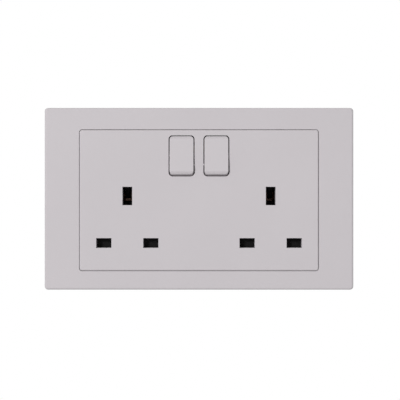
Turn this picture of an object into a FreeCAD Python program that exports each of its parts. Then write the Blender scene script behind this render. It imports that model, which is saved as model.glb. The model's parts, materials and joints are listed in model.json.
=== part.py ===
import FreeCAD, Part
import math
import os
from FreeCAD import Vector

# Twin 13 A switched socket outlet with a clip-on frame, in millimetres.
# X runs to the right, Y into the wall and Z up. The wall plane is Y = 0, the front faces -Y,
# and the origin lies midway between the two screws that fix the socket to its wall box.

# Outlets and pin apertures
OUTLET_PITCH = 67.75
PIN_PITCH = 22.23
EARTH_RISE = 22.23
PIN_LINE_Z = -20.9
LINE_SLOT_WIDTH = 7.2
LINE_SLOT_HEIGHT = 4.6
EARTH_SLOT_WIDTH = 4.6
EARTH_SLOT_HEIGHT = 8.7
LINE_PIN_LENGTH = 17.7
EARTH_PIN_LENGTH = 22.73

# Front plate
PLATE_PROUD = 0.3
PLATE_SKIN = 3.0
PLATE_WALL = 2.0
PLATE_CORNER = 1.2
PLATE_EDGE = 0.4
ROCKER_TO_EDGE = 2.09
MOUTH_DEPTH = 5.0
MOUTH_RIM = 1.4
RIB = 1.2
FLANGE_THICKNESS = 3.0
FLANGE_END = 6.2
FLANGE_CORNER = 3.0
FIXING_FROM_PLATE = 3.86
FIXING_SLOT_WIDTH = 4.4
FIXING_SLOT_LENGTH = 6.8
NIB_DROP = 4.1
NIB_HEIGHT = 0.7
NIB_DEPTH = 1.5
NIB_CLEARANCE = 0.1

# Clip-on frame
FRAME_DEPTH = 9.5
FRAME_SKIN = 2.4
FRAME_WALL = 2.0
FRAME_CORNER = 1.6
FRAME_EDGE = 0.8
FRAME_EDGE_LAND = 0.27
FRAME_LIP = 1.2
FRAME_BORDER_SIDE = 16.36
FRAME_BORDER_TOP = 10.25
FRAME_BORDER_BOTTOM = 8.85
SEAM = 0.2
HOOK_ROOM = 4.3
HOOK_SPACING = 44.0
HOOK_WIDTH = 7.0
HOOK_THICKNESS = 1.3
HOOK_BITE = 1.0
HOOK_STEP = 1.6
HOOK_LAND = 0.55
HOOK_CLEARANCE = 0.15
SCREW_HEAD_ROOM = 4.2

# Rocker switches
ROCKER_RISE = 18.97
ROCKER_WIDTH = 11.32
ROCKER_LENGTH = 18.52
ROCKER_BRIDGE = 4.22
ROCKER_GAP = 0.46
ROCKER_PROUD = 1.0
ROCKER_TAIL = 1.9
ROCKER_WALL = 1.6
ROCKER_SKIN = 2.0
ROCKER_CORNER = 1.5
ROCKER_LIP = 1.3
ROCKER_LIP_DROP = 0.7
ROCKER_SWING = 12.0
PIVOT_DEPTH = 2.9
TRUNNION_RADIUS = 1.2
TRUNNION_TIP_GAP = 2.0
RUNNING_CLEARANCE = 0.06
BEARING_MOUTH = 2.04
BEARING_WALL = 2.4
BEARING_HALF_HEIGHT = 3.0
BEARING_DEPTH = 2.4
PLUNGER_RADIUS = 1.6
PLUNGER_REACH = 8.3
PLUNGER_LENGTH = 5.4
PLUNGER_LAND = 0.5
PLUNGER_CLEARANCE = 0.08
PLUNGER_SEAT = 1.2
BOSS_WALL = 1.0
BOSS_REACH = 5.0

# See-saw contacts
LEVER_WIDTH = 5.0
LEVER_THICKNESS = 1.0
LEVER_STAND = 1.3
LEVER_SWING = 24.0
LEVER_TAIL = 5.5
LEVER_END = 0.2
LEVER_HEADROOM = 0.6
TIP_GAP = 0.15
BEAD_RADIUS = 0.8
CHEEK_INNER = 0.9
CHEEK_THICKNESS = 1.0
CHEEK_HALF_HEIGHT = 1.6
CHEEK_DROP = 0.1
CONTACT_RADIUS = 1.5
CONTACT_BASE = 0.6
CONTACT_GAP = 0.12
FIXED_CONTACT_HEIGHT = 0.7

# Shutters
SHUTTER_THICKNESS = 2.4
SHUTTER_PLAY = 0.4
SHUTTER_LAP = 0.9
SHUTTER_SIDE_LAP = 1.3
SHUTTER_OVERTRAVEL = 0.2
SHUTTER_GUIDE_GAP = 0.25
RAIL_GAP = 0.5
RAIL_WIDTH = 1.8
RAMP_WIDTH = 2.4
RAMP_RUN = 4.2
RAMP_BACK = 0.7
RAMP_HEAD = 2.2
PEG_RADIUS = 1.1
PEG_LENGTH = 2.0
SHUTTER_SPRING_LENGTH = 12.0
ABUTMENT_HALF_WIDTH = 3.5

# Springs
SPRING_WIRE = 0.45
SPRING_TURNS = 4
SPRING_SIDES = 6
SPRING_ROOM = 0.35
SPRING_END_GAP = 0.1

# Conductors
STRIP_THICKNESS = 0.8
STRIP_WIDTH = 3.0
CONTACT_SETBACK = 9.8
PIN_TIP_ROOM = 0.6
CLIP_GAP = 4.2
CLIP_FLARE = 0.6
CLIP_FLARE_DEPTH = 1.4
LINE_CLIP_WIDTH = 6.2
EARTH_CLIP_HEIGHT = 4.6
EARTH_CLIP_CLEARANCE = 0.4
LIVE_SETBACK = 3.2
STRIP_SPACE = 0.7
TERMINAL_SIZE = 8.4
TERMINAL_BORE = 2.6
TERMINAL_FRONT_WALL = 0.8
TERMINAL_PITCH = 19.0
TERMINAL_CHAMFER = 0.5
TERMINAL_SCREW_RADIUS = 1.9
TERMINAL_SCREW_STAND = 1.2
TERMINAL_LIP = 0.7

# Rear housing and its screws
HOUSING_WALL = 1.6
HOUSING_FLOOR = 2.0
HOUSING_FIT = 0.15
HOUSING_CORNER = 3.0
HOUSING_EDGE = 1.2
CHAMBER_WALL = 1.0
CHAMBER_ROOM = 0.4
SIDE_CHANNEL = 2.7
FLOOR_ROOM = 3.5
SEAT_GAP = 0.05
NOTCH_GAP = 0.2
BLOCK_FIT = 0.15
WIRE_MOUTH_GAP = 0.4
SCREW_INSET = 3.7
SCREW_TUBE_RADIUS = 3.0
HOUSING_SCREW_RADIUS = 1.5
HOUSING_SCREW_HEAD = 2.5
HOUSING_SCREW_HEAD_HEIGHT = 1.8
HOUSING_SCREW_SUNK = 0.4
SCREW_HOLE_GAP = 0.15
PILOT_GAP = 0.03
SCREW_BITE = 3.4
SLOT_WIDTH = 0.8
SLOT_DEPTH = 0.8

# How far a cut runs past the face it opens, and a joined piece into what carries it
PAST = 1.0

SIDES = {"left": -1, "right": 1}
RIGHT = Vector(1, 0, 0)
INWARD = Vector(0, 1, 0)
UP = Vector(0, 0, 1)

# Depths, from the front face to the back of the housing
front_y = -(FRAME_DEPTH + PLATE_PROUD)
skin_y = front_y + PLATE_SKIN
mouth_y = front_y + MOUTH_DEPTH
shutter_front_y = mouth_y + SHUTTER_PLAY
shutter_back_y = shutter_front_y + SHUTTER_THICKNESS
deck_y = shutter_back_y + SHUTTER_PLAY
frame_skin_y = FRAME_SKIN - FRAME_DEPTH
line_clip_y = front_y + CONTACT_SETBACK
strip_y = front_y + LINE_PIN_LENGTH + PIN_TIP_ROOM
strip_back_y = strip_y + STRIP_THICKNESS
earth_base_y = front_y + EARTH_PIN_LENGTH + PIN_TIP_ROOM
live_strip_y = strip_back_y + LIVE_SETBACK
live_strip_back_y = live_strip_y + STRIP_THICKNESS
floor_y = earth_base_y + STRIP_THICKNESS + FLOOR_ROOM
rear_y = floor_y + HOUSING_FLOOR
end_floor_y = live_strip_back_y + SEAT_GAP
end_rear_y = end_floor_y + HOUSING_FLOOR
block_back_y = floor_y - SEAT_GAP
bore_y = strip_back_y + TERMINAL_FRONT_WALL + TERMINAL_BORE

# Heights and widths, from the contacts outwards
earth_z = PIN_LINE_Z + EARTH_RISE
rocker_z = earth_z + ROCKER_RISE
rocker_x = (ROCKER_WIDTH + 2 * ROCKER_GAP + ROCKER_BRIDGE) / 2
rocker_end_radius = math.hypot(ROCKER_LENGTH / 2, PIVOT_DEPTH)
pivot_y = front_y + PIVOT_DEPTH
clip_half = CLIP_GAP / 2 + STRIP_THICKNESS + CLIP_FLARE
line_room_x = LINE_SLOT_WIDTH / 2 + CHAMBER_ROOM
line_room_z = clip_half + CHAMBER_ROOM
line_post_x = line_room_x + CHAMBER_WALL
line_post_z = line_room_z + CHAMBER_WALL
rail_inner = EARTH_SLOT_WIDTH / 2 + RAIL_GAP
rail_outer = rail_inner + RAIL_WIDTH
earth_room_x = rail_outer + CHAMBER_ROOM
earth_room_z = EARTH_SLOT_HEIGHT / 2 + CHAMBER_ROOM
earth_post_x = earth_room_x + CHAMBER_WALL
earth_post_z = earth_room_z + CHAMBER_WALL
housing_half = (OUTLET_PITCH + PIN_PITCH) / 2 + line_post_x + SIDE_CHANNEL + HOUSING_WALL
shoulder_x = OUTLET_PITCH / 2 + earth_post_x
neutral_run_z = PIN_LINE_Z - line_post_z - STRIP_SPACE - STRIP_WIDTH / 2
housing_bottom = neutral_run_z - STRIP_WIDTH / 2 - STRIP_SPACE - HOUSING_WALL
plate_half = housing_half + HOUSING_FIT + PLATE_WALL
plate_bottom = housing_bottom - HOUSING_FIT - PLATE_WALL
plate_top = rocker_z + rocker_end_radius + ROCKER_GAP + ROCKER_TO_EDGE
housing_top = plate_top - PLATE_WALL - HOUSING_FIT
fixing_x = plate_half + FIXING_FROM_PLATE
flange_half = fixing_x + FLANGE_END
frame_half = plate_half + SEAM + FRAME_BORDER_SIDE
frame_top = plate_top + SEAM + FRAME_BORDER_TOP
frame_bottom = plate_bottom - SEAM - FRAME_BORDER_BOTTOM
flange_top = frame_top - FRAME_WALL - HOOK_ROOM
flange_bottom = frame_bottom + FRAME_WALL + HOOK_ROOM
inner_top = housing_top - HOUSING_WALL
inner_bottom = housing_bottom + HOUSING_WALL
terminal_top_z = inner_top - BLOCK_FIT - TERMINAL_SIZE / 2
terminal_bottom_z = inner_bottom + BLOCK_FIT + TERMINAL_SIZE / 2
live_run_z = (PIN_LINE_Z + line_post_z + earth_z - earth_post_z) / 2
contact_arm = inner_top - LEVER_HEADROOM - rocker_z - CONTACT_RADIUS - LEVER_END
lever_y = pivot_y + PLUNGER_REACH + TIP_GAP + LEVER_STAND

# Shutter positions
shutter_travel = LINE_SLOT_HEIGHT + SHUTTER_LAP + SHUTTER_OVERTRAVEL
shutter_half = PIN_PITCH / 2 + LINE_SLOT_WIDTH / 2 + SHUTTER_SIDE_LAP
shutter_low = PIN_LINE_Z - LINE_SLOT_HEIGHT / 2 - SHUTTER_LAP
shutter_bar_top = PIN_LINE_Z + LINE_SLOT_HEIGHT / 2 + SHUTTER_LAP
ramp_top = earth_z + EARTH_SLOT_HEIGHT / 2
ramp_low = ramp_top + SHUTTER_OVERTRAVEL - shutter_travel
ramp_deep_y = shutter_front_y + RAMP_RUN
ramp_back_y = ramp_deep_y + RAMP_BACK
shutter_head = ramp_top + RAMP_HEAD
earth_clip_y = shutter_back_y + EARTH_CLIP_CLEARANCE
earth_post_y = ramp_back_y + EARTH_CLIP_CLEARANCE
shutter_spring_radius = PEG_RADIUS + SPRING_ROOM + SPRING_WIRE / 2
shutter_spring_y = shutter_front_y + shutter_spring_radius
abutment_z = shutter_head + SHUTTER_SPRING_LENGTH

# The housing screws' places and the four terminals: (name, X, Z, way the wire leaves)
screw_z = (housing_bottom + housing_top) / 2
screw_points = [(side * (housing_half - SCREW_INSET), screw_z) for side in SIDES.values()]
terminals = [
    ("live_terminal", 0.0, terminal_top_z, 1),
    ("neutral_terminal", 0.0, terminal_bottom_z, -1),
    ("earth_terminal_left", -TERMINAL_PITCH, terminal_top_z, 1),
    ("earth_terminal_right", TERMINAL_PITCH, terminal_top_z, 1),
]


def outlet_x(side):
    return side * OUTLET_PITCH / 2


def neutral_x(side):
    return outlet_x(side) - PIN_PITCH / 2


def live_x(side):
    return outlet_x(side) + PIN_PITCH / 2


def slab(x0, x1, y0, y1, z0, z1):
    """A plain block between two corners."""
    return Part.makeBox(x1 - x0, y1 - y0, z1 - z0, Vector(x0, y0, z0))


def post(x, z, half_x, half_z, y0, y1):
    """A block centred on a point of the front view."""
    return slab(x - half_x, x + half_x, y0, y1, z - half_z, z + half_z)


def rounded_outline(x0, x1, z0, z1, y, radius):
    """A rectangle with round corners, in a plane parallel to the wall."""
    corners = [(x1 - radius, z1 - radius), (x0 + radius, z1 - radius)]
    corners += [(x0 + radius, z0 + radius), (x1 - radius, z0 + radius)]
    arcs = []
    for quarter, (x, z) in enumerate(corners):
        angles = [math.radians(90 * quarter + turn) for turn in (0, 45, 90)]
        arcs.append([Vector(x + radius * math.cos(a), y, z + radius * math.sin(a)) for a in angles])
    edges = []
    for arc, following in zip(arcs, arcs[1:] + arcs[:1]):
        edges.append(Part.Arc(*arc).toShape())
        edges.append(Part.makeLine(arc[2], following[0]))
    return Part.Wire(edges)


def rounded_slab(x0, x1, y0, y1, z0, z1, radius):
    """A block whose edges along Y are rounded."""
    face = Part.Face(rounded_outline(x0, x1, z0, z1, y0, radius))
    return face.extrude(INWARD * (y1 - y0))


def eased_levels(front, edge, land):
    """Depth and inset of the outlines that ease a front edge with two bevels, which meet at the land."""
    return [(front, edge), (front + land, land), (front + edge, 0)]


def rod(radius, start, direction, length):
    return Part.makeCylinder(radius, length, start, direction)


def joined(pieces):
    shape = pieces[0].fuse(pieces[1:]).removeSplitter()
    return shape.Solids[0]


def edges_at(shape, y):
    """The edges that lie in the plane at depth y."""
    return [e for e in shape.Edges if abs(e.BoundBox.YMin - y) < 1e-6 and abs(e.BoundBox.YMax - y) < 1e-6]


def ribbon(path, thickness):
    """Closed outline of a bent strip of even thickness that follows a path of (a, b) points."""
    sides = [[], []]
    for i, (a, b) in enumerate(path):
        before = path[max(i - 1, 0)]
        after = path[min(i + 1, len(path) - 1)]
        way_in = math.atan2(b - before[1], a - before[0]) if i else None
        way_out = math.atan2(after[1] - b, after[0] - a) if i < len(path) - 1 else way_in
        way_in = way_out if way_in is None else way_in
        turn = (way_out - way_in + math.pi) % (2 * math.pi) - math.pi
        across = way_in + turn / 2 + math.pi / 2
        reach = thickness / 2 / math.cos(turn / 2)
        for side, sign in zip(sides, (1, -1)):
            side.append((a + sign * reach * math.cos(across), b + sign * reach * math.sin(across)))
    return sides[0] + sides[1][::-1]


def ribbon_solid(path, thickness, place, sweep):
    """A bent strip: its outline is set in space by place(a, b) and swept along a vector."""
    points = [place(a, b) for a, b in ribbon(path, thickness)]
    return Part.Face(Part.makePolygon(points + points[:1])).extrude(sweep)


def flat_strip(path, y):
    """A flat conductor strip that follows (x, z) points, with its front face at depth y."""
    return ribbon_solid(path, STRIP_WIDTH, lambda x, z: Vector(x, y, z), INWARD * STRIP_THICKNESS)


def coil(start, direction, length, radius):
    """A compression spring of square wire from start along direction."""
    half = SPRING_WIRE / 2
    steps = SPRING_TURNS * SPRING_SIDES
    rise = length - 2 * SPRING_END_GAP - SPRING_WIRE
    corners = [(-half, -half), (half, -half), (half, half), (-half, half)]
    sections = []
    for i in range(steps + 1):
        angle = 2 * math.pi * i / SPRING_SIDES
        z = SPRING_END_GAP + half + rise * i / steps
        sections.append([
            Vector((radius + out) * math.cos(angle), (radius + out) * math.sin(angle), z + up)
            for out, up in corners
        ])
    outlines = [sections[0], sections[-1]]
    for near, far in zip(sections, sections[1:]):
        for k, after in enumerate((1, 2, 3, 0)):
            outlines += [[near[k], near[after], far[after]], [near[k], far[after], far[k]]]
    faces = [Part.Face(Part.makePolygon(points + points[:1])) for points in outlines]
    spring = Part.makeSolid(Part.makeShell(faces))
    spring.Placement = FreeCAD.Placement(start, FreeCAD.Rotation(UP, direction))
    return spring


def slotted(screw, centre, radius, depth):
    """Cut a driving slot across a screw head whose outer face is at the given centre."""
    groove = slab(-radius, radius, -depth, depth, -SLOT_WIDTH / 2, SLOT_WIDTH / 2)
    groove.translate(centre)
    return screw.cut(groove)


def make_front_frame():
    outlines = []
    for y, inset in eased_levels(-FRAME_DEPTH, FRAME_EDGE, FRAME_EDGE_LAND) + [(0, 0)]:
        half, bottom, top = frame_half - inset, frame_bottom + inset, frame_top - inset
        outlines.append(rounded_outline(-half, half, bottom, top, y, FRAME_CORNER - inset))
    shell = Part.makeLoft(outlines, True, True)
    half = frame_half - FRAME_WALL
    hollow = slab(-half, half, frame_skin_y, PAST, frame_bottom + FRAME_WALL, frame_top - FRAME_WALL)
    x1, z0, z1 = plate_half + SEAM, plate_bottom - SEAM, plate_top + SEAM
    lip_end = -FLANGE_THICKNESS - HOOK_CLEARANCE
    lip = rounded_slab(
        -x1 - FRAME_LIP, x1 + FRAME_LIP, frame_skin_y - PAST, lip_end, z0 - FRAME_LIP, z1 + FRAME_LIP,
        PLATE_CORNER + SEAM + FRAME_LIP,
    )
    for x in (-fixing_x, fixing_x):
        lip = lip.cut(rod(SCREW_HEAD_ROOM, Vector(x, frame_skin_y, 0), INWARD, -frame_skin_y))
    window = rounded_slab(-x1, x1, -FRAME_DEPTH - PAST, PAST, z0, z1, PLATE_CORNER + SEAM)
    hooks = []
    for x in hook_places():
        hooks += [make_hook(x, flange_top, 1), make_hook(x, flange_bottom, -1)]
    return joined([shell.cut(hollow), lip] + hooks).cut(window)


def hook_places():
    return (-HOOK_SPACING, 0.0, HOOK_SPACING)


def make_hook(x, edge_z, up):
    """A snap hook: a leg beside the flange's edge, with a nose that grips its stepped back."""
    leg_in = edge_z + up * HOOK_CLEARANCE
    leg_out = leg_in + up * HOOK_THICKNESS
    nose = edge_z - up * HOOK_BITE
    catch_y = HOOK_CLEARANCE - HOOK_STEP
    tail_y = -HOOK_CLEARANCE
    profile = [
        (frame_skin_y - PAST, leg_in), (catch_y, leg_in), (catch_y, nose), (catch_y + HOOK_LAND, nose),
        (tail_y, leg_in), (tail_y, leg_out), (frame_skin_y - PAST, leg_out),
    ]
    points = [Vector(x - HOOK_WIDTH / 2, y, z) for y, z in profile]
    return Part.Face(Part.makePolygon(points + points[:1])).extrude(RIGHT * HOOK_WIDTH)


def aperture(x, z, width, height):
    return post(x, z, width / 2, height / 2, front_y - PAST, mouth_y + PAST)


def pin_apertures(side):
    """Centre and size of one outlet's three apertures: neutral, live and earth."""
    return [
        (neutral_x(side), PIN_LINE_Z, LINE_SLOT_WIDTH, LINE_SLOT_HEIGHT),
        (live_x(side), PIN_LINE_Z, LINE_SLOT_WIDTH, LINE_SLOT_HEIGHT),
        (outlet_x(side), earth_z, EARTH_SLOT_WIDTH, EARTH_SLOT_HEIGHT),
    ]


def make_front_plate():
    face = rounded_slab(-plate_half, plate_half, front_y, 0, plate_bottom, plate_top, PLATE_CORNER)
    face = face.makeChamfer(PLATE_EDGE, edges_at(face, front_y))
    flange = rounded_slab(
        -flange_half, flange_half, -FLANGE_THICKNESS, 0, flange_bottom, flange_top, FLANGE_CORNER
    )
    half = housing_half + HOUSING_FIT
    bottom, top = housing_bottom - HOUSING_FIT, housing_top + HOUSING_FIT
    cavity = rounded_slab(-half, half, skin_y, PAST, bottom, top, HOUSING_CORNER + HOUSING_FIT)
    plate = face.fuse(flange).cut(cavity)
    ribs = [screw_boss(x, z) for x, z in screw_points]
    cuts = [screw_pilot(x, z) for x, z in screw_points]
    for side in SIDES.values():
        ribs += shutter_ribs(side) + rocker_bearings(side)
        cuts += [aperture(*spot) for spot in pin_apertures(side)]
        cuts += [rocker_window(side), fixing_slot(side * fixing_x)]
    cuts += [bearing_cut()] + hook_steps()
    plate = joined([plate] + ribs).cut(cuts)
    return joined([plate] + [rocker_nib(side) for side in SIDES.values()])


def screw_boss(x, z):
    return rod(SCREW_TUBE_RADIUS, Vector(x, skin_y - PAST, z), INWARD, deck_y - skin_y + PAST)


def screw_pilot(x, z):
    depth = SCREW_BITE + SCREW_HOLE_GAP
    return rod(HOUSING_SCREW_RADIUS + PILOT_GAP, Vector(x, deck_y - depth, z), INWARD, depth + PAST)


def shutter_ribs(side):
    """Aperture rims, side guides, rest stop and spring abutment behind one outlet."""
    x = outlet_x(side)
    ribs = [
        post(px, pz, width / 2 + MOUTH_RIM, height / 2 + MOUTH_RIM, skin_y - PAST, mouth_y)
        for px, pz, width, height in pin_apertures(side)
    ]
    guide_in = shutter_half + SHUTTER_GUIDE_GAP
    low, high = shutter_low - RIB, shutter_bar_top + shutter_travel
    for x0 in (x - guide_in - RIB, x + guide_in):
        ribs.append(slab(x0, x0 + RIB, skin_y - PAST, shutter_back_y, low, high))
    stop_top = shutter_low - SHUTTER_PLAY / 2
    x0, x1 = x - rail_outer, x + rail_outer
    ribs.append(slab(x0, x1, skin_y - PAST, shutter_back_y, stop_top - RIB, stop_top))
    end_y = shutter_spring_y + shutter_spring_radius + SPRING_WIRE
    x0, x1 = x - ABUTMENT_HALF_WIDTH, x + ABUTMENT_HALF_WIDTH
    ribs.append(slab(x0, x1, skin_y - PAST, end_y, abutment_z, abutment_z + RIB))
    return ribs


def rocker_bearings(side):
    """The outer bearing wall of one rocker and its half of the wall between the rockers."""
    end_y = pivot_y + BEARING_DEPTH
    z0, z1 = rocker_z - BEARING_HALF_HEIGHT, rocker_z + BEARING_HALF_HEIGHT
    outer = side * (rocker_x + ROCKER_WIDTH / 2 + ROCKER_GAP)
    walls = [sorted((outer, outer + side * BEARING_WALL)), sorted((0, side * ROCKER_BRIDGE / 2))]
    return [slab(x0, x1, skin_y - PAST, end_y, z0, z1) for x0, x1 in walls]


def bearing_cut():
    """Snap-in bearings for all four trunnions: a round seat with a narrower way in from behind."""
    radius = TRUNNION_RADIUS + RUNNING_CLEARANCE
    reach = rocker_x + ROCKER_WIDTH / 2 + trunnion_length() + RUNNING_CLEARANCE
    seat = rod(radius, Vector(-reach, pivot_y, rocker_z), RIGHT, 2 * reach)
    half = BEARING_MOUTH / 2
    way = slab(-reach, reach, pivot_y, pivot_y + BEARING_DEPTH + PAST, rocker_z - half, rocker_z + half)
    return seat.fuse(way)


def trunnion_length():
    return ROCKER_GAP + (ROCKER_BRIDGE - TRUNNION_TIP_GAP) / 2


def rocker_window(side):
    """The opening for a rocker, wider behind, so that the rocker's round ends keep an even gap."""
    x = side * rocker_x
    half = ROCKER_WIDTH / 2 + ROCKER_GAP
    outlines = []
    for y in (front_y, pivot_y):
        reach = math.sqrt(rocker_end_radius**2 - (pivot_y - y) ** 2) + ROCKER_GAP
        corner = ROCKER_CORNER + ROCKER_GAP
        z0, z1 = rocker_z - reach, rocker_z + reach
        outlines.append(rounded_outline(x - half, x + half, z0, z1, y, corner))
    taper = Part.makeLoft(outlines, True, True)
    mouth = Part.Face(outlines[0]).extrude(-INWARD)
    throat = Part.Face(outlines[1]).extrude(INWARD * PLATE_SKIN)
    return taper.fuse([mouth, throat])


def rocker_nib(side):
    """A small guide nib on the window's inner wall, low beside the rocker."""
    wall = side * ROCKER_BRIDGE / 2
    tip = wall + side * (ROCKER_GAP - NIB_CLEARANCE)
    x0, x1 = sorted((wall - side * NIB_HEIGHT, tip))
    top = rocker_z - NIB_DROP + NIB_HEIGHT / 2
    return slab(x0, x1, front_y, front_y + NIB_DEPTH, top - NIB_HEIGHT, top)


def fixing_slot(x):
    half = FIXING_SLOT_LENGTH / 2
    radius = FIXING_SLOT_WIDTH / 2
    start = -FLANGE_THICKNESS - PAST
    middle = slab(x - half + radius, x + half - radius, start, PAST, -radius, radius)
    spots = [Vector(x + s * (half - radius), start, 0) for s in (-1, 1)]
    return joined([middle] + [rod(radius, spot, INWARD, PAST - start) for spot in spots])


def hook_steps():
    """Notches in the back of the flange's edges that the frame's hooks snap into."""
    half = HOOK_WIDTH / 2 + 2 * HOOK_CLEARANCE
    depth = HOOK_BITE + 2 * HOOK_CLEARANCE
    steps = []
    for x in hook_places():
        upper = (flange_top - depth, flange_top + PAST)
        lower = (flange_bottom - PAST, flange_bottom + depth)
        steps += [slab(x - half, x + half, -HOOK_STEP, PAST, z0, z1) for z0, z1 in (upper, lower)]
    return steps


def rocker_section(x0, x1, radius, front, back):
    """A rocker's side profile about its pivot, with ends on one arc, swept from x0 to x1."""
    angles = [math.asin(-y / radius) for y in (front, (front + back) / 2, back)]
    spots = [(-radius * math.sin(a), radius * math.cos(a)) for a in angles]
    upper = [Vector(x0, pivot_y + y, rocker_z + z) for y, z in spots]
    lower = [Vector(x0, pivot_y + y, rocker_z - z) for y, z in spots]
    edges = [
        Part.Arc(*upper).toShape(), Part.makeLine(upper[2], lower[2]),
        Part.Arc(*lower).toShape(), Part.makeLine(lower[0], upper[0]),
    ]
    return Part.Face(Part.Wire(Part.__sortEdges__(edges))).extrude(RIGHT * (x1 - x0))


def at_rest(shape, x):
    """Tip a rocker, or what rides in it, from mid swing to off: lower edge out."""
    shape.rotate(Vector(x, pivot_y, rocker_z), RIGHT, -ROCKER_SWING / 2)
    return shape


def rocker_lips(x, front):
    """What is cut from a rocker's two ends so that its face slopes back into a lip."""
    edge = front + ROCKER_LIP_DROP
    end = math.sqrt(rocker_end_radius**2 - edge**2)
    past = end + ROCKER_LIP
    slope = [(front, end - ROCKER_LIP), (edge + ROCKER_LIP_DROP, past)]
    profile = slope + [(front - PAST, past), (front - PAST, end - ROCKER_LIP)]
    lips = []
    for way in (-1, 1):
        points = [Vector(x - ROCKER_WIDTH, pivot_y + y, rocker_z + way * z) for y, z in profile]
        lips.append(Part.Face(Part.makePolygon(points + points[:1])).extrude(RIGHT * 2 * ROCKER_WIDTH))
    return lips


def rocker_block(x, front):
    """A rocker's solid body: ends that taper to the front, all within one arc about the pivot."""
    half = ROCKER_WIDTH / 2
    reach = math.sqrt(rocker_end_radius**2 - front**2)
    flare = (rocker_end_radius - reach) * ROCKER_TAIL / -front
    profile = [(front, reach), (ROCKER_TAIL, rocker_end_radius + flare)]
    profile += [(y, -z) for y, z in reversed(profile)]
    points = [Vector(x - half, pivot_y + y, rocker_z + z) for y, z in profile]
    block = Part.Face(Part.makePolygon(points + points[:1])).extrude(RIGHT * 2 * half)
    corners = [edge for edge in block.Edges if edge.BoundBox.YLength > ROCKER_TAIL]
    block = block.makeFillet(ROCKER_CORNER, corners).cut(rocker_lips(x, front))
    axis = Vector(x - half - PAST, pivot_y, rocker_z)
    return block.common(rod(rocker_end_radius, axis, RIGHT, 2 * (half + PAST)))


def make_rocker(side):
    x = side * rocker_x
    half = ROCKER_WIDTH / 2
    front = -(PIVOT_DEPTH + ROCKER_PROUD)
    inner = half - ROCKER_WALL
    roof = front + ROCKER_SKIN
    inner_radius = rocker_end_radius - ROCKER_WALL
    hollow = rocker_section(x - inner, x + inner, inner_radius, roof, ROCKER_TAIL + PAST)
    bore = PLUNGER_RADIUS + PLUNGER_CLEARANCE
    root = roof - PAST
    boss = rod(bore + BOSS_WALL, Vector(x, pivot_y + root, rocker_z), INWARD, BOSS_REACH - root)
    length = trunnion_length() + ROCKER_WALL / 2
    pins = []
    for s in (-1, 1):
        start = Vector(x + s * (half - ROCKER_WALL / 2), pivot_y, rocker_z)
        pins.append(rod(TRUNNION_RADIUS, start, RIGHT * s, length))
    depth = PLUNGER_SEAT + BOSS_REACH + PAST
    seat = rod(bore, Vector(x, pivot_y - PLUNGER_SEAT, rocker_z), INWARD, depth)
    body = rocker_block(x, front).cut(hollow)
    return at_rest(joined([body, boss] + pins).cut(seat), x)


def make_plunger(side):
    """A round pin with a chisel tip that keeps within the arc of the pin's own radius."""
    x = side * rocker_x
    half = PLUNGER_RADIUS
    back = PLUNGER_REACH - PLUNGER_LENGTH
    neck = PLUNGER_REACH - half
    tip = neck + math.sqrt(half**2 - PLUNGER_LAND**2)
    profile = [(back, -half), (neck, -half), (tip, -PLUNGER_LAND)]
    profile += [(y, -z) for y, z in reversed(profile)]
    points = [Vector(x - half, pivot_y + y, rocker_z + z) for y, z in profile]
    blade = Part.Face(Part.makePolygon(points + points[:1])).extrude(RIGHT * 2 * half)
    pin = rod(half, Vector(x, pivot_y + back, rocker_z), INWARD, PLUNGER_LENGTH)
    return at_rest(pin.common(blade).Solids[0], x)


def make_plunger_spring(side):
    x = side * rocker_x
    start = Vector(x, pivot_y - PLUNGER_SEAT, rocker_z)
    length = PLUNGER_SEAT + PLUNGER_REACH - PLUNGER_LENGTH
    return at_rest(coil(start, INWARD, length, PLUNGER_RADIUS - SPRING_WIRE), x)


def lever_at_rest(shape, x):
    """Tip a see-saw lever from level to open: upper arm forward."""
    shape.rotate(Vector(x, lever_y, rocker_z), RIGHT, LEVER_SWING / 2)
    return shape


def make_contact_lever(side):
    x = side * rocker_x
    half = LEVER_WIDTH / 2
    front = lever_y - LEVER_STAND
    top = rocker_z + contact_arm + CONTACT_RADIUS + LEVER_END
    strip = slab(x - half, x + half, front, front + LEVER_THICKNESS, rocker_z - LEVER_TAIL, top)
    bead = rod(BEAD_RADIUS, Vector(x - half, lever_y, rocker_z), RIGHT, LEVER_WIDTH)
    return lever_at_rest(joined([strip, bead]), x)


def make_lever_contact(side):
    x = side * rocker_x
    back = lever_y - LEVER_STAND + LEVER_THICKNESS
    base = Vector(x, back, rocker_z + contact_arm)
    return lever_at_rest(rod(CONTACT_RADIUS, base, INWARD, CONTACT_BASE), x)


def fixed_contact_y():
    """Depth at which the lever's contact ends its swing, with a hair of air left."""
    swing = math.radians(LEVER_SWING / 2)
    stand = LEVER_THICKNESS - LEVER_STAND + CONTACT_BASE
    rim = stand * math.cos(swing) + (contact_arm + CONTACT_RADIUS) * math.sin(swing)
    return lever_y + rim + CONTACT_GAP


def make_fixed_contacts():
    """The two rivets that the levers close on."""
    spots = [Vector(s * rocker_x, fixed_contact_y(), rocker_z + contact_arm) for s in SIDES.values()]
    return Part.makeCompound([rod(CONTACT_RADIUS, spot, INWARD, FIXED_CONTACT_HEIGHT) for spot in spots])


def make_live_feed_bar():
    """A folded strip from behind both fixed contacts back to the live terminal."""
    near = fixed_contact_y() + FIXED_CONTACT_HEIGHT + STRIP_THICKNESS / 2
    far = strip_back_y - STRIP_THICKNESS / 2
    end = rocker_x + CONTACT_RADIUS + LEVER_END
    knee = rocker_x - CONTACT_RADIUS - LEVER_END
    foot = TERMINAL_SIZE / 2
    path = [(-end, near), (-knee, near), (-foot, far), (foot, far), (knee, near), (end, near)]
    z = rocker_z + contact_arm - STRIP_WIDTH / 2
    return ribbon_solid(path, STRIP_THICKNESS, lambda x, y: Vector(x, y, z), UP * STRIP_WIDTH)


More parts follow.
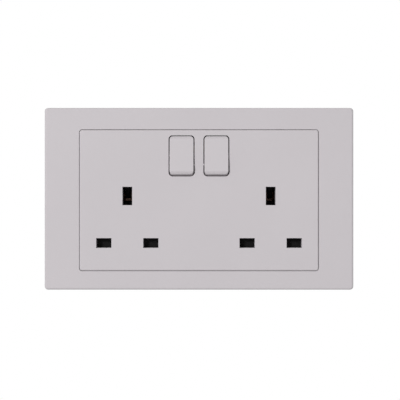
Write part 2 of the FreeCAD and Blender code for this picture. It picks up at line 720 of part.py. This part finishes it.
def clip_path(entry_y, base_y):
    """Middle line of a pin clip: two flared blades and the base that joins them, as (across, y)."""
    blade = (CLIP_GAP + STRIP_THICKNESS) / 2
    middle = base_y + STRIP_THICKNESS / 2
    arm = [(blade + CLIP_FLARE, entry_y), (blade, entry_y + CLIP_FLARE_DEPTH), (blade, middle)]
    return arm + [(-across, y) for across, y in reversed(arm)]


def make_line_clip(x):
    half = LINE_CLIP_WIDTH / 2
    place = lambda across, y: Vector(x - half, y, PIN_LINE_Z + across)
    path = clip_path(line_clip_y, strip_y)
    return ribbon_solid(path, STRIP_THICKNESS, place, RIGHT * LINE_CLIP_WIDTH)


def make_earth_clip(x):
    bottom = earth_z - EARTH_CLIP_HEIGHT / 2
    place = lambda across, y: Vector(x + across, y, bottom)
    path = clip_path(earth_clip_y, earth_base_y)
    return ribbon_solid(path, STRIP_THICKNESS, place, UP * EARTH_CLIP_HEIGHT)


def make_neutral_bar():
    """Both neutral clips on one strip that runs along the bottom of the housing."""
    left, right = neutral_x(-1), neutral_x(1)
    step = line_post_x + STRIP_SPACE + STRIP_WIDTH / 2
    path = [
        (left, PIN_LINE_Z), (left + step, PIN_LINE_Z), (left + step, neutral_run_z),
        (right - step, neutral_run_z), (right - step, PIN_LINE_Z), (right, PIN_LINE_Z),
    ]
    return joined([flat_strip(path, strip_y), make_line_clip(left), make_line_clip(right)])


def make_earth_bar():
    """Both earth clips on one strip, with a branch up to each earth terminal."""
    blade = CLIP_GAP / 2 + STRIP_THICKNESS / 2
    reach = OUTLET_PITCH / 2 - blade
    pieces = [flat_strip([(-reach, earth_z), (reach, earth_z)], strip_y)]
    for side in SIDES.values():
        pieces.append(make_earth_clip(outlet_x(side)))
        x = side * TERMINAL_PITCH
        pieces.append(flat_strip([(x, earth_z), (x, terminal_top_z)], strip_y))
    return joined(pieces)


def make_live_outlet(side):
    """One live clip, its strip up to the switch, and the two cheeks that carry the lever."""
    x, switch_x = live_x(side), side * rocker_x
    middle = STRIP_THICKNESS / 2
    riser_z = PIN_LINE_Z + line_post_z + STRIP_SPACE + middle
    fold = [
        (strip_y + middle, PIN_LINE_Z), (strip_y + middle, riser_z),
        (live_strip_y + middle, riser_z), (live_strip_y + middle, live_run_z),
    ]
    place = lambda y, z: Vector(x - STRIP_WIDTH / 2, y, z)
    top = rocker_z + CHEEK_HALF_HEIGHT
    run = [(x, riser_z + middle), (x, live_run_z), (switch_x, live_run_z), (switch_x, top)]
    pad_half = CHEEK_INNER + CHEEK_THICKNESS
    pad = post(switch_x, rocker_z, pad_half, CHEEK_HALF_HEIGHT, live_strip_y, live_strip_back_y)
    pieces = [
        make_line_clip(x), ribbon_solid(fold, STRIP_THICKNESS, place, RIGHT * STRIP_WIDTH),
        flat_strip(run, live_strip_y), pad,
    ]
    half = CHEEK_THICKNESS / 2
    front, back = lever_y + CHEEK_DROP, live_strip_y + middle
    for s in (-1, 1):
        cheek_x = switch_x + s * (CHEEK_INNER + half)
        pieces.append(post(cheek_x, rocker_z, half, CHEEK_HALF_HEIGHT, front, back))
    start = Vector(switch_x - LEVER_WIDTH / 2, lever_y, rocker_z)
    cradle = rod(BEAD_RADIUS + RUNNING_CLEARANCE, start, RIGHT, LEVER_WIDTH)
    return joined(pieces).cut(cradle).Solids[0]


def make_terminal(x, z):
    """A brass block with a wire bore up through it and a screw hole from behind."""
    half = TERMINAL_SIZE / 2
    block = post(x, z, half, half, strip_back_y, block_back_y)
    upright = [e for e in block.Edges if abs(e.BoundBox.YLength - e.Length) < 1e-4]
    block = block.makeChamfer(TERMINAL_CHAMFER, upright)
    bore = rod(TERMINAL_BORE, Vector(x, bore_y, z - TERMINAL_SIZE), UP, 2 * TERMINAL_SIZE)
    depth = block_back_y - bore_y + PAST
    thread = rod(TERMINAL_SCREW_RADIUS + PILOT_GAP, Vector(x, bore_y, z), INWARD, depth)
    return block.cut([bore, thread])


def make_terminal_screw(x, z):
    """A slotted headless screw, backed off to leave the wire bore open."""
    top_y = block_back_y + TERMINAL_SCREW_STAND
    tip_y = bore_y + TERMINAL_BORE
    screw = rod(TERMINAL_SCREW_RADIUS, Vector(x, tip_y, z), INWARD, top_y - tip_y)
    return slotted(screw, Vector(x, top_y, z), TERMINAL_SCREW_RADIUS + PAST, SLOT_DEPTH)


def make_housing_screw(x, z):
    """A slotted pan-head screw from the back of the housing into a boss of the front plate."""
    head_y = end_rear_y - HOUSING_SCREW_SUNK - HOUSING_SCREW_HEAD_HEIGHT
    tip_y = deck_y - SCREW_BITE
    shank = rod(HOUSING_SCREW_RADIUS, Vector(x, tip_y, z), INWARD, head_y - tip_y)
    head = rod(HOUSING_SCREW_HEAD, Vector(x, head_y, z), INWARD, HOUSING_SCREW_HEAD_HEIGHT)
    top = Vector(x, head_y + HOUSING_SCREW_HEAD_HEIGHT, z)
    return slotted(joined([shank, head]), top, HOUSING_SCREW_HEAD + PAST, SLOT_DEPTH)


def make_shutter(side):
    """Two line-aperture covers on a bar, a bridge on two rails, and the ramp that the earth pin lifts."""
    x = outlet_x(side)
    front, back = shutter_front_y, shutter_back_y
    bar = slab(x - shutter_half, x + shutter_half, front, back, shutter_low, shutter_bar_top)
    bridge = slab(x - rail_outer, x + rail_outer, front, back, ramp_top, shutter_head)
    rails = []
    for s in (-1, 1):
        x0, x1 = sorted((x + s * rail_inner, x + s * rail_outer))
        rails.append(slab(x0, x1, front, back, shutter_bar_top - PAST, shutter_head))
    profile = [
        (front, shutter_head), (front, ramp_top), (ramp_deep_y, ramp_low),
        (ramp_back_y, ramp_low), (ramp_back_y, shutter_head),
    ]
    points = [Vector(x - RAMP_WIDTH / 2, y, z) for y, z in profile]
    ramp = Part.Face(Part.makePolygon(points + points[:1])).extrude(RIGHT * RAMP_WIDTH)
    peg = rod(PEG_RADIUS, Vector(x, shutter_spring_y, shutter_head - PAST), UP, PEG_LENGTH + PAST)
    return joined([bar, bridge, ramp, peg] + rails)


def make_shutter_spring(side):
    start = Vector(outlet_x(side), shutter_spring_y, shutter_head)
    return coil(start, UP, SHUTTER_SPRING_LENGTH, shutter_spring_radius)


def floor_at(x):
    """Depth of the housing's floor at a place: the ends are shallower than the middle."""
    return floor_y if abs(x) < shoulder_x else end_floor_y


def make_rear_housing():
    """The moulded base: a stepped shell with contact chambers, terminal pockets and screw tubes."""
    ends = rounded_slab(
        -housing_half, housing_half, deck_y, end_rear_y, housing_bottom, housing_top, HOUSING_CORNER
    )
    ends = ends.makeChamfer(HOUSING_EDGE, edges_at(ends, end_rear_y))
    middle = slab(-shoulder_x, shoulder_x, deck_y, rear_y, housing_bottom, housing_top)
    middle = middle.makeChamfer(HOUSING_EDGE, edges_at(middle, rear_y))
    inner_half, inner_shoulder = housing_half - HOUSING_WALL, shoulder_x - HOUSING_WALL
    front, corner = deck_y - PAST, HOUSING_CORNER - HOUSING_WALL
    hollows = [
        rounded_slab(-inner_half, inner_half, front, end_floor_y, inner_bottom, inner_top, corner),
        slab(-inner_shoulder, inner_shoulder, front, floor_y, inner_bottom, inner_top),
    ]
    posts, cuts = [], []
    for side in SIDES.values():
        for made, cut in (line_chambers(side), earth_chamber(side)):
            posts += made
            cuts += cut
        posts += switch_seats(side)
        cuts += strip_notches(side)
    for name, x, z, leaves in terminals:
        pocket = TERMINAL_SIZE / 2 + BLOCK_FIT
        outer = pocket + CHAMBER_WALL
        posts.append(post(x, z, outer, outer, strip_back_y + PAST, floor_y))
        cuts.append(post(x, z, pocket, pocket, strip_back_y, floor_y))
        cuts.append(wire_mouth(x, z, leaves))
        window = TERMINAL_SIZE / 2 - TERMINAL_LIP
        cuts.append(post(x, z, window, window, floor_y - PAST, rear_y + PAST))
    for x, z in screw_points:
        posts.append(rod(SCREW_TUBE_RADIUS, Vector(x, deck_y, z), INWARD, end_floor_y - deck_y))
        hole = HOUSING_SCREW_RADIUS + SCREW_HOLE_GAP
        cuts.append(rod(hole, Vector(x, front, z), INWARD, end_rear_y + PAST - front))
        sunk = HOUSING_SCREW_SUNK + HOUSING_SCREW_HEAD_HEIGHT
        head = HOUSING_SCREW_HEAD + SCREW_HOLE_GAP
        cuts.append(rod(head, Vector(x, end_rear_y - sunk, z), INWARD, sunk + PAST))
    return joined([ends.fuse(middle).cut(hollows)] + posts).cut(cuts)


def wire_mouth(x, z, leaves):
    """A square mouth through the walls above or below a terminal, where its wire comes in."""
    half = TERMINAL_BORE + WIRE_MOUTH_GAP
    z0, z1 = sorted((z, z + leaves * 2 * TERMINAL_SIZE))
    return slab(x - half, x + half, bore_y - half, bore_y + half, z0, z1)


def line_chambers(side):
    """The walls round one outlet's two line clips, and the room inside them."""
    walls, rooms = [], []
    seat = strip_back_y + SEAT_GAP
    for x in (neutral_x(side), live_x(side)):
        walls.append(post(x, PIN_LINE_Z, line_post_x, line_post_z, deck_y, floor_at(x)))
        rooms.append(post(x, PIN_LINE_Z, line_room_x, line_room_z, deck_y - PAST, seat))
    return walls, rooms


def earth_chamber(side):
    """The walls round one earth clip, which stop short of the shutter's ramp, and the room inside."""
    x = outlet_x(side)
    seat = earth_base_y + STRIP_THICKNESS + SEAT_GAP
    wall = post(x, earth_z, earth_post_x, earth_post_z, earth_post_y, floor_y)
    room = post(x, earth_z, earth_room_x, earth_room_z, earth_post_y - PAST, seat)
    return [wall], [room]


def switch_seats(side):
    """Pillars on the floor under the fulcrum and under the long run of a live strip."""
    top = live_strip_back_y + SEAT_GAP
    half = CHEEK_INNER + CHEEK_THICKNESS
    x = live_x(side)
    pillars = [post(side * rocker_x, rocker_z, half, CHEEK_HALF_HEIGHT, top, floor_y)]
    if floor_at(x) > top:
        pillars.append(post(x, live_run_z, STRIP_WIDTH / 2, STRIP_WIDTH / 2, top, floor_at(x)))
    return pillars


def strip_notches(side):
    """Ways through the chamber walls for the strips, open to the front so that they drop in."""
    half = STRIP_WIDTH / 2 + NOTCH_GAP
    seat = strip_back_y + SEAT_GAP
    to_middle = -side
    x0, x1 = sorted((neutral_x(side), neutral_x(side) + to_middle * (line_post_x + PAST)))
    neutral = slab(x0, x1, deck_y - PAST, seat, PIN_LINE_Z - half, PIN_LINE_Z + half)
    x0, x1 = live_x(side) - half, live_x(side) + half
    live = slab(x0, x1, deck_y - PAST, seat, PIN_LINE_Z, PIN_LINE_Z + line_post_z + PAST)
    x0, x1 = sorted((outlet_x(side), outlet_x(side) + to_middle * (earth_post_x + PAST)))
    earth = slab(x0, x1, earth_post_y - PAST, seat, earth_z - half, earth_z + half)
    return [neutral, live, earth]


def all_nodes():
    nodes = {
        "front_frame": make_front_frame(),
        "front_plate": make_front_plate(),
        "rear_housing": make_rear_housing(),
        "housing_screws": Part.makeCompound([make_housing_screw(x, z) for x, z in screw_points]),
        "fixed_contacts": make_fixed_contacts(),
        "live_feed_bar": make_live_feed_bar(),
        "neutral_bar": make_neutral_bar(),
        "earth_bar": make_earth_bar(),
        "terminal_screws": Part.makeCompound([make_terminal_screw(x, z) for _, x, z, _ in terminals]),
    }
    for name, x, z, leaves in terminals:
        nodes[name] = make_terminal(x, z)
    for name, side in SIDES.items():
        nodes["rocker_" + name] = make_rocker(side)
        nodes["plunger_" + name] = make_plunger(side)
        nodes["plunger_spring_" + name] = make_plunger_spring(side)
        nodes["contact_lever_" + name] = make_contact_lever(side)
        nodes["lever_contact_" + name] = make_lever_contact(side)
        nodes["live_outlet_" + name] = make_live_outlet(side)
        nodes["shutter_" + name] = make_shutter(side)
        nodes["shutter_spring_" + name] = make_shutter_spring(side)
    return nodes


os.makedirs("parts", exist_ok=True)
for node_name, node_shape in all_nodes().items():
    node_shape.exportStep("parts/" + node_name + ".step")
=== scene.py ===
import bpy
import json
import math
from mathutils import Matrix, Vector


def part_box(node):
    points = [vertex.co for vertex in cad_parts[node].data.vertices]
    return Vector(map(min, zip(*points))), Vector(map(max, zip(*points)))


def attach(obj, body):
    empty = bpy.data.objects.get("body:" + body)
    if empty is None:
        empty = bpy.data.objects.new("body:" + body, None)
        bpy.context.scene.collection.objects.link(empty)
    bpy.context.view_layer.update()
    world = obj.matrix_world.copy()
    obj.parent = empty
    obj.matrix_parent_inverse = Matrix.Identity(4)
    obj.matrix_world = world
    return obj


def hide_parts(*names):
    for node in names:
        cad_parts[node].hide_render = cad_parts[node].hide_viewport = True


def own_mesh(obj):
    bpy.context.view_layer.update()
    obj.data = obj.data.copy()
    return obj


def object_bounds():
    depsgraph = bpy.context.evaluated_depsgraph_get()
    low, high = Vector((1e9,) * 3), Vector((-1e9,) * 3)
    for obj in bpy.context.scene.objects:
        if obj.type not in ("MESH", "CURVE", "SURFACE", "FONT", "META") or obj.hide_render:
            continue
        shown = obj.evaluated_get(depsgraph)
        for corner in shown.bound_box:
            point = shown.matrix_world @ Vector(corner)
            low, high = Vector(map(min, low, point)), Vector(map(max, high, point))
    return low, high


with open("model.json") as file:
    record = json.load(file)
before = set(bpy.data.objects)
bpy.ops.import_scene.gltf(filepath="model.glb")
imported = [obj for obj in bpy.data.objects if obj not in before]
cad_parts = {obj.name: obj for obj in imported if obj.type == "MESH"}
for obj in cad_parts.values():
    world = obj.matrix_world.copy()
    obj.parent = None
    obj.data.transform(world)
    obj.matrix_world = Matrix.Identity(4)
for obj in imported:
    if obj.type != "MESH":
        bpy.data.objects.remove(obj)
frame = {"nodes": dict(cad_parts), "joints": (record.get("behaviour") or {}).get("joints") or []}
cad_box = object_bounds()


# Clip-on frame: one thin grey moulding with a plain flat face, hollow behind, that snaps over the
# plate's flange and hides the two wall screws. Its mould leaves a fine eroded grain on the face and
# a small radius on every edge.

class Surface:
    """One output of a material's nodes. Sums written with it add Math nodes."""

    def __init__(self, tree, socket):
        self.tree = tree
        self.socket = socket

    def node(self, kind, settings, sockets, output=0):
        """Add any other node: its settings first, then the values or links of its sockets."""
        made = self.tree.nodes.new(kind)
        for name, value in settings.items():
            setattr(made, name, value)
        for name, value in sockets.items():
            if isinstance(value, Surface):
                self.tree.links.new(value.socket, made.inputs[name])
            else:
                made.inputs[name].default_value = value
        return Surface(self.tree, made.outputs[output])

    def worked(self, operation, first, second):
        return self.node("ShaderNodeMath", {"operation": operation}, {0: first, 1: second})

    def __add__(self, other):
        return self.worked("ADD", self, other)

    def __radd__(self, other):
        return self.worked("ADD", other, self)

    def __mul__(self, other):
        return self.worked("MULTIPLY", self, other)

    def __rmul__(self, other):
        return self.worked("MULTIPLY", other, self)

    def feeds(self, shader, name):
        self.tree.links.new(self.socket, shader.inputs[name])


def bare_finish(name):
    """A new material's shader, and the piece's own coordinates as its first surface."""
    material = bpy.data.materials.new(name)
    material.use_nodes = True
    tree = material.node_tree
    place = tree.nodes.new("ShaderNodeTexCoord").outputs["Object"]
    return material, tree.nodes["Principled BSDF"], Surface(tree, place)


def blended(factor, first, second):
    """A colour between two others."""
    colours = {0: factor, 6: (*first, 1.0), 7: (*second, 1.0)}
    return factor.node("ShaderNodeMix", {"data_type": "RGBA"}, colours, output=2)


FLOW_SCALE = 30.0
FLOW_TINT = 0.03
PIT_DULLING = 0.14
FLOW_DULLING = 0.08
PIT_STRENGTH = 0.35


def moulded_plastic(name, colour, roughness, grain, relief, gloss=0.35):
    """Moulded plastic: a fine eroded grain, faint flow clouds and slightly uneven gloss."""
    material, shader, place = bare_finish(name)
    clouds = place.node("ShaderNodeTexNoise", {}, {"Vector": place, "Scale": FLOW_SCALE, "Detail": 3.0})
    pits = place.node("ShaderNodeTexNoise", {}, {"Vector": place, "Scale": 1 / grain, "Detail": 2.0})
    deep = [(1 - FLOW_TINT) * c for c in colour]
    pale = [(1 + FLOW_TINT) * c for c in colour]
    blended(clouds, deep, pale).feeds(shader, "Base Color")
    smoothest = roughness - (PIT_DULLING + FLOW_DULLING) / 2
    (pits * PIT_DULLING + clouds * FLOW_DULLING + smoothest).feeds(shader, "Roughness")
    bump = {"Strength": PIT_STRENGTH, "Distance": relief, "Height": pits}
    place.node("ShaderNodeBump", {}, bump).feeds(shader, "Normal")
    shader.inputs["Specular IOR Level"].default_value = gloss
    return material


def only(piece):
    """Make a piece the one selected, active object."""
    bpy.ops.object.select_all(action="DESELECT")
    piece.select_set(True)
    bpy.context.view_layer.objects.active = piece


FLAT_WITHIN = math.radians(0.5)
EDGE_FROM = math.radians(25)
SMOOTH_UP_TO = math.radians(35)


def eased(node, width):
    """A copy of a CAD node whose sharp edges are rounded over a width, as on the real piece."""
    piece = bpy.data.objects.new(node + "_eased", frame["nodes"][node].data.copy())
    bpy.context.scene.collection.objects.link(piece)
    only(piece)
    bpy.ops.object.mode_set(mode="EDIT")
    bpy.ops.mesh.select_all(action="SELECT")
    bpy.ops.mesh.remove_doubles(threshold=width)
    bpy.ops.mesh.dissolve_limited(angle_limit=FLAT_WITHIN)
    bpy.ops.mesh.select_all(action="SELECT")
    bpy.ops.mesh.quads_convert_to_tris(quad_method="BEAUTY", ngon_method="BEAUTY")
    bpy.ops.mesh.select_all(action="SELECT")
    bpy.ops.mesh.beautify_fill(angle_limit=FLAT_WITHIN)
    bpy.ops.object.mode_set(mode="OBJECT")
    bevel = piece.modifiers.new("round edges", "BEVEL")
    bevel.offset_type = "WIDTH"
    bevel.width = width
    bevel.segments = 3
    bevel.limit_method = "ANGLE"
    bevel.angle_limit = EDGE_FROM
    bevel.use_clamp_overlap = False
    bevel.loop_slide = False
    bpy.ops.object.modifier_apply(modifier=bevel.name)
    bpy.ops.object.shade_smooth_by_angle(angle=SMOOTH_UP_TO)
    flats = piece.modifiers.new("flat faces stay flat", "WEIGHTED_NORMAL")
    flats.keep_sharp = True
    bpy.ops.object.modifier_apply(modifier=flats.name)
    return piece


def dress(piece, material, body, slot, *nodes):
    """Give a finished piece its material, the body it rides on and the nodes it stands for."""
    piece.data.materials.clear()
    piece.data.materials.append(material)
    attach(piece, body)
    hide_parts(*nodes)


GREY = (0.574, 0.541, 0.562)
FRAME_EDGE = 0.00025
grey_moulding = moulded_plastic("grey moulding", GREY, roughness=0.5, grain=0.0003, relief=0.00003)
dress(eased("front_frame", FRAME_EDGE), grey_moulding, "socket_body", "grey_plastic", "front_frame")


# Front plate: the same grey moulding, with the six pin apertures, two rocker windows and a flange
# behind the frame. Aperture and window rims are crisp, with barely broken edges.

PLATE_EDGE = 0.00012
dress(eased("front_plate", PLATE_EDGE), grey_moulding, "socket_body", "grey_plastic", "front_plate")


# Rockers: two hollow mouldings of the same grey that tip on trunnions in the plate's windows. Their
# faces are flat, with a sloping lip at each end and soft edges for the finger.

ROCKER_EDGE = 0.0003
for side in ("left", "right"):
    rocker = "rocker_" + side
    dress(eased(rocker, ROCKER_EDGE), grey_moulding, rocker, "grey_plastic", rocker)


# Plungers and their springs: pale nylon pins that slide in the bosses of the rockers, each pushed
# out against its lever by a small coil of round steel wire.

NYLON = (0.72, 0.7, 0.64)
PLUNGER_EDGE = 0.0001
pale_nylon = moulded_plastic("pale nylon", NYLON, roughness=0.4, grain=0.0006, relief=0.00002)


LINE_STRETCH = (0.08, 1.0, 1.0)
STAIN_SCALE = 160.0
LINE_DULLING = 0.16
STAIN_DULLING = 0.15
LINE_STRENGTH = 0.25


def drawn_metal(name, colour, stain, roughness, grain):
    """Rolled or drawn metal: fine lines along X, stained in soft patches that are also duller."""
    material, shader, place = bare_finish(name)
    lined = place.node("ShaderNodeMapping", {}, {"Vector": place, "Scale": LINE_STRETCH})
    lines = place.node("ShaderNodeTexNoise", {}, {"Vector": lined, "Scale": 1 / grain, "Detail": 2.0})
    spots = {"Vector": place, "Scale": STAIN_SCALE, "Detail": 4.0}
    patches = place.node("ShaderNodeTexNoise", {}, spots)
    worn = place.node("ShaderNodeMapRange", {}, {"Value": patches, "From Min": 0.45, "From Max": 0.75})
    blended(worn, colour, stain).feeds(shader, "Base Color")
    smoothest = roughness - LINE_DULLING / 2
    (lines * LINE_DULLING + worn * STAIN_DULLING + smoothest).feeds(shader, "Roughness")
    bump = {"Strength": LINE_STRENGTH, "Distance": grain / 10, "Height": lines}
    place.node("ShaderNodeBump", {}, bump).feeds(shader, "Normal")
    shader.inputs["Metallic"].default_value = 1.0
    return material


STEEL = (0.46, 0.46, 0.47)
DULL_STEEL = (0.3, 0.29, 0.28)
spring_steel = drawn_metal("spring steel", STEEL, DULL_STEEL, roughness=0.3, grain=0.0002)


WIRE_SIDES = 10
STEPS_IN_A_TURN = 24


def wire_spring(name, start, end, radius, wire, turns):
    """A helical spring of round wire from start to end: one wire section, swept round and along."""
    bpy.ops.object.select_all(action="DESELECT")
    bpy.ops.mesh.primitive_circle_add(
        vertices=WIRE_SIDES, radius=wire / 2, location=(radius, 0, wire / 2), rotation=(math.pi / 2, 0, 0)
    )
    spring = bpy.context.object
    spring.name = name
    bpy.ops.object.transform_apply(location=True, rotation=True)
    along = Vector(end) - Vector(start)
    sweep = spring.modifiers.new("coil", "SCREW")
    sweep.steps = STEPS_IN_A_TURN
    sweep.render_steps = STEPS_IN_A_TURN
    sweep.iterations = turns
    sweep.screw_offset = (along.length - wire) / turns
    bpy.ops.object.modifier_apply(modifier=sweep.name)
    bpy.ops.object.mode_set(mode="EDIT")
    bpy.ops.mesh.select_all(action="SELECT")
    bpy.ops.mesh.remove_doubles(threshold=1e-6)
    bpy.ops.mesh.fill_holes(sides=0)
    bpy.ops.mesh.select_all(action="SELECT")
    bpy.ops.mesh.normals_make_consistent(inside=False)
    bpy.ops.object.mode_set(mode="OBJECT")
    turned = along.to_track_quat("Z", "Y").to_matrix().to_4x4()
    spring.matrix_world = Matrix.Translation(start) @ turned
    bpy.ops.object.transform_apply(location=True, rotation=True)
    bpy.ops.object.shade_smooth_by_angle(angle=math.radians(40))
    return spring


def joint(name):
    """The frame's row for a joint."""
    return next(j for j in frame["joints"] if j["name"] == name)


SPRING_WIRE = 0.00045
PLUNGER_SPRING_TURNS = 4
for side in ("left", "right"):
    plunger = "plunger_" + side
    dress(eased(plunger, PLUNGER_EDGE), pale_nylon, plunger, "pale_nylon", plunger)
    node = "plunger_spring_" + side
    slide = joint("plunger_%s_slide" % side)
    inward = -Vector(slide["axis"])
    low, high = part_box(node)
    middle = (low + high) / 2
    reach = (high.y - low.y) / 2 / inward.y - SPRING_WIRE / 4
    seat = middle - inward * reach
    radius = (high.x - low.x - SPRING_WIRE) / 2
    tip = middle + inward * reach
    spring = wire_spring(node + "_coil", seat, tip, radius, SPRING_WIRE, PLUNGER_SPRING_TURNS)
    dress(spring, spring_steel, "rocker_" + side, "steel", node)
    1 - slide["range_m"][1] / (2 * reach)
    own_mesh(spring)


# Shutters and their springs: black mouldings that cover the line apertures until the earth pin
# rides up their ramp, each pushed down again by a coil spring under a rib of the plate.

BLACK = (0.006, 0.0052, 0.0055)
black_moulding = moulded_plastic(
    "black moulding", BLACK, roughness=0.6, grain=0.0003, relief=0.00002, gloss=0.1
)
SHUTTER_EDGE = 0.00015
SHUTTER_SPRING_TURNS = 8
for side in ("left", "right"):
    shutter = "shutter_" + side
    dress(eased(shutter, SHUTTER_EDGE), black_moulding, shutter, "black_plastic", shutter)
    node = "shutter_spring_" + side
    low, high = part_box(node)
    foot = Vector(((low.x + high.x) / 2, (low.y + high.y) / 2, low.z))
    head = Vector((foot.x, foot.y, high.z))
    radius = (high.y - low.y - SPRING_WIRE) / 2
    spring = wire_spring(node + "_coil", foot, head, radius, SPRING_WIRE, SHUTTER_SPRING_TURNS)
    dress(spring, spring_steel, "socket_body", "steel", node)
    slide = joint("shutter_%s_slide" % side)
    left = 1 - slide["range_m"][1] / (head - foot).length
    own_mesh(spring)


# Earth bar: two long pin clips and the strip between them, bent from springy dark bronze. The clips
# are the brown strips seen through the upright apertures.

BRONZE = (0.3, 0.19, 0.15)
DARK_BRONZE = (0.16, 0.1, 0.085)
STRIP_EDGE = 0.00012
bronze = drawn_metal("bronze", BRONZE, DARK_BRONZE, roughness=0.42, grain=0.00025)
dress(eased("earth_bar", STRIP_EDGE), bronze, "socket_body", "brass", "earth_bar")


# Other conductors: bars, clips, see-saw levers and terminal blocks, cut and bent from brass strip
# or sawn from brass bar, with a thin uneven tarnish.

BRASS = (0.68, 0.47, 0.2)
TARNISH = (0.42, 0.26, 0.11)
LEVER_EDGE = 0.0001
brass = drawn_metal("brass", BRASS, TARNISH, roughness=0.3, grain=0.00025)
fixed_brass = ["live_feed_bar", "neutral_bar", "live_outlet_left", "live_outlet_right"]
fixed_brass += ["live_terminal", "neutral_terminal", "earth_terminal_left", "earth_terminal_right"]
for node in fixed_brass:
    dress(eased(node, STRIP_EDGE), brass, "socket_body", "brass", node)
for side in ("left", "right"):
    lever = "contact_lever_" + side
    dress(eased(lever, LEVER_EDGE), brass, "lever_" + side, "brass", lever)


# Contact rivets: small silver discs riveted to the levers and to the feed bar, where the current is
# switched. They are a little greyed by use.

SILVER = (0.78, 0.77, 0.74)
GREYED_SILVER = (0.35, 0.34, 0.33)
RIVET_EDGE = 0.00015
silver = drawn_metal("silver", SILVER, GREYED_SILVER, roughness=0.35, grain=0.0002)
dress(eased("fixed_contacts", RIVET_EDGE), silver, "socket_body", "silver", "fixed_contacts")
for side in ("left", "right"):
    rivet = "lever_contact_" + side
    dress(eased(rivet, RIVET_EDGE), silver, "lever_" + side, "silver", rivet)


# Rear housing: a deep charcoal moulding with chambers for the clips, open pockets behind the
# terminals and a screw tube at each end.

CHARCOAL = (0.036, 0.035, 0.038)
HOUSING_EDGE = 0.00012
charcoal = moulded_plastic("charcoal moulding", CHARCOAL, roughness=0.55, grain=0.0005, relief=0.00005)
dress(eased("rear_housing", HOUSING_EDGE), charcoal, "socket_body", "dark_plastic", "rear_housing")


# Screws: slotted steel, plated with zinc. Two go through the housing into the plate, and one is in
# each terminal block.

ZINC = (0.5, 0.5, 0.51)
DULL_ZINC = (0.36, 0.36, 0.38)
SCREW_EDGE = 0.00018
zinc = drawn_metal("zinc plate", ZINC, DULL_ZINC, roughness=0.32, grain=0.0003)
for node in ("housing_screws", "terminal_screws"):
    dress(eased(node, SCREW_EDGE), zinc, "socket_body", "steel", node)


# Studio: white surroundings and a pale floor well below the socket, which fades to white away from
# it. A large soft lamp stands to the upper left. Camera and glossy rays see plain white.

WHITE = (1.0, 1.0, 1.0, 1.0)
WORLD_LIGHT = 0.42
low, high = cad_box
world = bpy.data.worlds.new("studio")
bpy.context.scene.world = world
world.use_nodes = True
sky = world.node_tree.nodes["Background"]
sky.inputs["Color"].default_value = WHITE


def seen_rays(tree):
    """One for rays that show the surroundings to the eye, straight or by reflection, else nought."""
    path = tree.nodes.new("ShaderNodeLightPath")
    direct = Surface(tree, path.outputs["Is Camera Ray"])
    mirrored = Surface(tree, path.outputs["Is Glossy Ray"])
    through = Surface(tree, path.outputs["Is Transmission Ray"])
    return direct.worked("MINIMUM", direct + mirrored + through, 1.0)


(seen_rays(world.node_tree) * (1 - WORLD_LIGHT) + WORLD_LIGHT).feeds(sky, "Strength")

FLOOR_RADIUS = 2.0
FLOOR_GREY = (0.82, 0.82, 0.82, 1.0)
FLOOR_DROP = 0.12
FLOOR_NEAR = 0.14
FLOOR_FAR = 0.34
bpy.ops.object.select_all(action="DESELECT")
below = (0, 0, low.z - FLOOR_DROP)
bpy.ops.mesh.primitive_circle_add(vertices=64, radius=FLOOR_RADIUS, fill_type="NGON", location=below)
floor = bpy.context.object
floor.name = "floor"
floor_paint, paint, spot = bare_finish("floor paint")
paint.inputs["Base Color"].default_value = FLOOR_GREY
paint.inputs["Roughness"].default_value = 0.9
away = spot.node("ShaderNodeVectorMath", {"operation": "LENGTH"}, {0: spot}, output=1)
fade = {"Value": away, "From Min": FLOOR_NEAR, "From Max": FLOOR_FAR}
faded = spot.node("ShaderNodeMapRange", {"interpolation_type": "SMOOTHSTEP"}, fade)
white = spot.node("ShaderNodeEmission", {}, {"Color": WHITE, "Strength": 1.0})
lit = Surface(spot.tree, paint.outputs["BSDF"])
mixed = spot.node("ShaderNodeMixShader", {}, {0: faded * seen_rays(spot.tree), 1: lit, 2: white})
mixed.feeds(spot.tree.nodes["Material Output"], "Surface")
floor.data.materials.append(floor_paint)


LAMP_PLACE = (-2.6, -5.0, 1.8)
LAMP_SIZE = 1.0
LAMP_WATTS = 199.0
lamp = bpy.data.lights.new("key", "AREA")
lamp.size = LAMP_SIZE
lamp.energy = LAMP_WATTS
holder = bpy.data.objects.new("key", lamp)
bpy.context.scene.collection.objects.link(holder)
holder.location = LAMP_PLACE
holder.rotation_euler = (-Vector(LAMP_PLACE)).to_track_quat("-Z", "Y").to_euler()


# Camera: straight on, a little right of and below the middle of the frame, as in the photograph.
# The lens makes the frame as many pixels wide as it is there.

IMAGE_WIDTH = 400
FRAME_WIDTH_IN_IMAGE = 309.0
RIGHT_OF_MIDDLE = 1.0
BELOW_MIDDLE = 1.2
CAMERA_DISTANCE = 0.55
pixel = (high.x - low.x) / FRAME_WIDTH_IN_IMAGE
face_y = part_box("front_frame")[0].y
camera = bpy.data.objects.new("camera", bpy.data.cameras.new("camera"))
bpy.context.scene.collection.objects.link(camera)
camera.location = (RIGHT_OF_MIDDLE * pixel, face_y - CAMERA_DISTANCE, -BELOW_MIDDLE * pixel)
camera.rotation_euler = (math.pi / 2, 0, 0)
camera.data.lens = camera.data.sensor_width * CAMERA_DISTANCE / (IMAGE_WIDTH * pixel)
bpy.context.scene.camera = camera
bpy.context.scene.view_settings.view_transform = "Standard"
